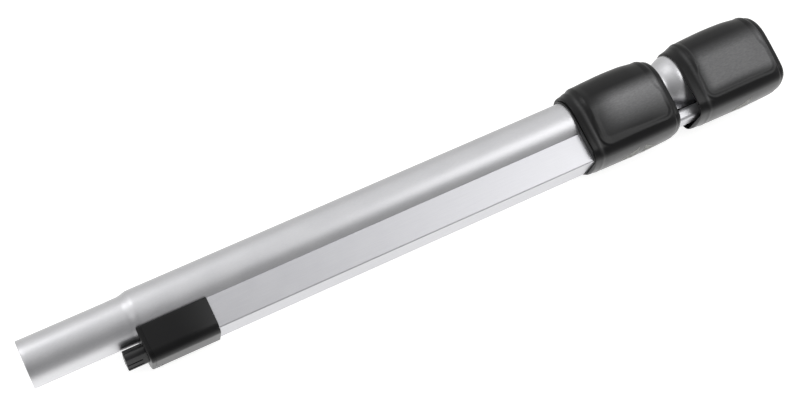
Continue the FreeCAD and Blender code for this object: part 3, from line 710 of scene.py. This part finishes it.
# Conduit: a drawn box tube with soft corners
start, end = span("cord_conduit")
low, high = span("cord_conduit", "y")
half = span("cord_conduit", "z")[1]
corner = 3.2
conduit = prism("conduit", box_edge(low, high, half, corner), start, end, channel_metal)
bore = box_edge(low + INNER_WALL, high - INNER_WALL, half - INNER_WALL, corner - INNER_WALL)
cut(conduit, [prism("bore", bore, start - PAST, end + PAST)])
settle(soften(conduit), "inner", "channel_aluminium", "cord_conduit")

# CAD nodes that keep their form
for node, body, slot, finish in (
        ("cord_channel", "outer", "channel_aluminium", channel_metal),
        ("plug_contacts", "outer", "contact_brass", contact_brass),
        ("cord_anchor", "outer", "cord_rubber", cord_rubber),
        ("guide_body", "outer", "grip_black", grip_black),
        ("tube_seal", "outer", "seal_felt", seal_felt),
        ("clamp_collet", "outer", "bush_grey", bush_grey),
        ("guide_bush", "inner", "bush_grey", bush_grey),
        ("conduit_shoe", "inner", "bush_grey", bush_grey),
        ("socket_liner", "inner", "liner_black", liner_black),
        ("liner_seal", "inner", "cord_rubber", cord_rubber),
        ("inlet_block", "inner", "liner_black", liner_black),
        ("cord_clamp", "inner", "cord_rubber", cord_rubber),
        ("inlet_pins", "inner", "contact_brass", contact_brass),
        ("inlet_leads", "inner", "cord_rubber", cord_rubber)):
    from_cad(node, body, slot, finish)


# Floor: a white sheet that the wand lies on, plain white to the eye, with the wand's shadow. In reflections it
# is white on the channel's side and fades to grey beyond the tube, a painted shade of the sheet behind the
# wand
white = bpy.data.materials.new("white_sheet")
white.use_nodes = True
tree = white.node_tree
tree.nodes.clear()
path = add(tree, "ShaderNodeLightPath").outputs
place = add(tree, "ShaderNodeTexCoord").outputs["Object"]
across = add(tree, "ShaderNodeSeparateXYZ", {0: place}).outputs["Y"]
# Painted shade in reflections: the sheet's glow fades beyond the tube
reflected_glow_painted_shade = add(tree, "ShaderNodeMapRange", {"Value": across, "From Min": -0.02, "From Max": 0.08,
                                         "To Min": 0.93, "To Max": 0.18}, interpolation_type="SMOOTHSTEP")
mirrored = add(tree, "ShaderNodeMath", {0: path["Is Glossy Ray"], 1: path["Is Transmission Ray"]},
               operation="MAXIMUM")
mirrored = add(tree, "ShaderNodeMath", {0: mirrored.outputs[0], 1: reflected_glow_painted_shade.outputs[0]}, operation="MULTIPLY")
own = add(tree, "ShaderNodeMath", {0: path["Is Camera Ray"], 1: 0.8, 2: mirrored.outputs[0]},
          operation="MULTIPLY_ADD")
glow = add(tree, "ShaderNodeEmission", {"Color": (1, 1, 1, 1), "Strength": own.outputs[0]})
matt = add(tree, "ShaderNodeBsdfDiffuse", {"Color": colour("C8C8C6")})
total = add(tree, "ShaderNodeAddShader", {0: glow.outputs[0], 1: matt.outputs[0]})
add(tree, "ShaderNodeOutputMaterial", {"Surface": total.outputs[0]})
# The sheet touches the tube at its shoulder and leans away from it up the wand, under the wider grips
rest_x, fall, gap = 81, 0.0198, 0.05
form = bmesh.new()
corners = [(x, y, -TUBE - gap - fall * (x - rest_x)) for x, y in
           ((-3500, -3500), (4100, -3500), (4100, 3500), (-3500, 3500))]
form.faces.new([form.verts.new(Vector(p) * MM) for p in corners])
piece("floor", form, white)

# Light: a pale room that is dark above the viewer, a large soft box up the wand and two over the spigot
room = bpy.data.worlds.new("room")
room.use_nodes = True
tree = room.node_tree
tree.nodes.clear()
toward = add(tree, "ShaderNodeTexCoord").outputs["Generated"]
viewer = add(tree, "ShaderNodeVectorMath", {0: toward, 1: (-0.2, -0.603, 0.772)}, operation="DOT_PRODUCT")
level = add(tree, "ShaderNodeMapRange", {"Value": viewer.outputs["Value"], "From Min": 0.36, "From Max": 0.98,
                                         "To Min": 0.88, "To Max": 0.26}, interpolation_type="SMOOTHSTEP")
sky = add(tree, "ShaderNodeBackground", {"Color": (1, 1, 1, 1), "Strength": level.outputs[0]})
add(tree, "ShaderNodeOutputWorld", {"Surface": sky.outputs[0]})
scene.world = room


def soft_box(name, direction, size, watts):
    """An area lamp that looks at the middle of the wand from a direction."""
    middle_of_wand, distance = Vector((0.3, 0, 0)), 1.6
    lamp = bpy.data.lights.new(name, "AREA")
    lamp.shape = "RECTANGLE"
    lamp.size, lamp.size_y = size
    lamp.energy = watts
    made = bpy.data.objects.new(name, lamp)
    scene.collection.objects.link(made)
    aim = Vector(direction).normalized()
    made.location = middle_of_wand + aim * distance
    made.rotation_euler = aim.to_track_quat("Z", "Y").to_euler()


soft_box("key", (0.53, 0.0, 0.85), (0.9, 0.9), 5.4)
soft_box("fill", (-0.38, 0.74, 0.58), (0.6, 0.5), 2.6)
soft_box("side", (-0.66, 0.0, 0.75), (0.4, 0.4), 1.1)

# Camera: as the photograph was taken
lens = bpy.data.cameras.new("view")
lens.sensor_width = 36.0
lens.lens = 71.403
view = bpy.data.objects.new("view", lens)
right = Vector((0.8886505796, -0.4392732029, 0.1316784209))
up = Vector((0.3886808622, 0.8738545778, 0.2920708305))
back = Vector((-0.2433666786, -0.2083680294, 0.9472884587))
eye = Matrix.Translation((0.007898972, -0.236826360, 1.079418899))
view.matrix_world = eye @ Matrix((right, up, back)).transposed().to_4x4()
scene.collection.objects.link(view)
scene.camera = view

scene.view_settings.view_transform = "Standard"
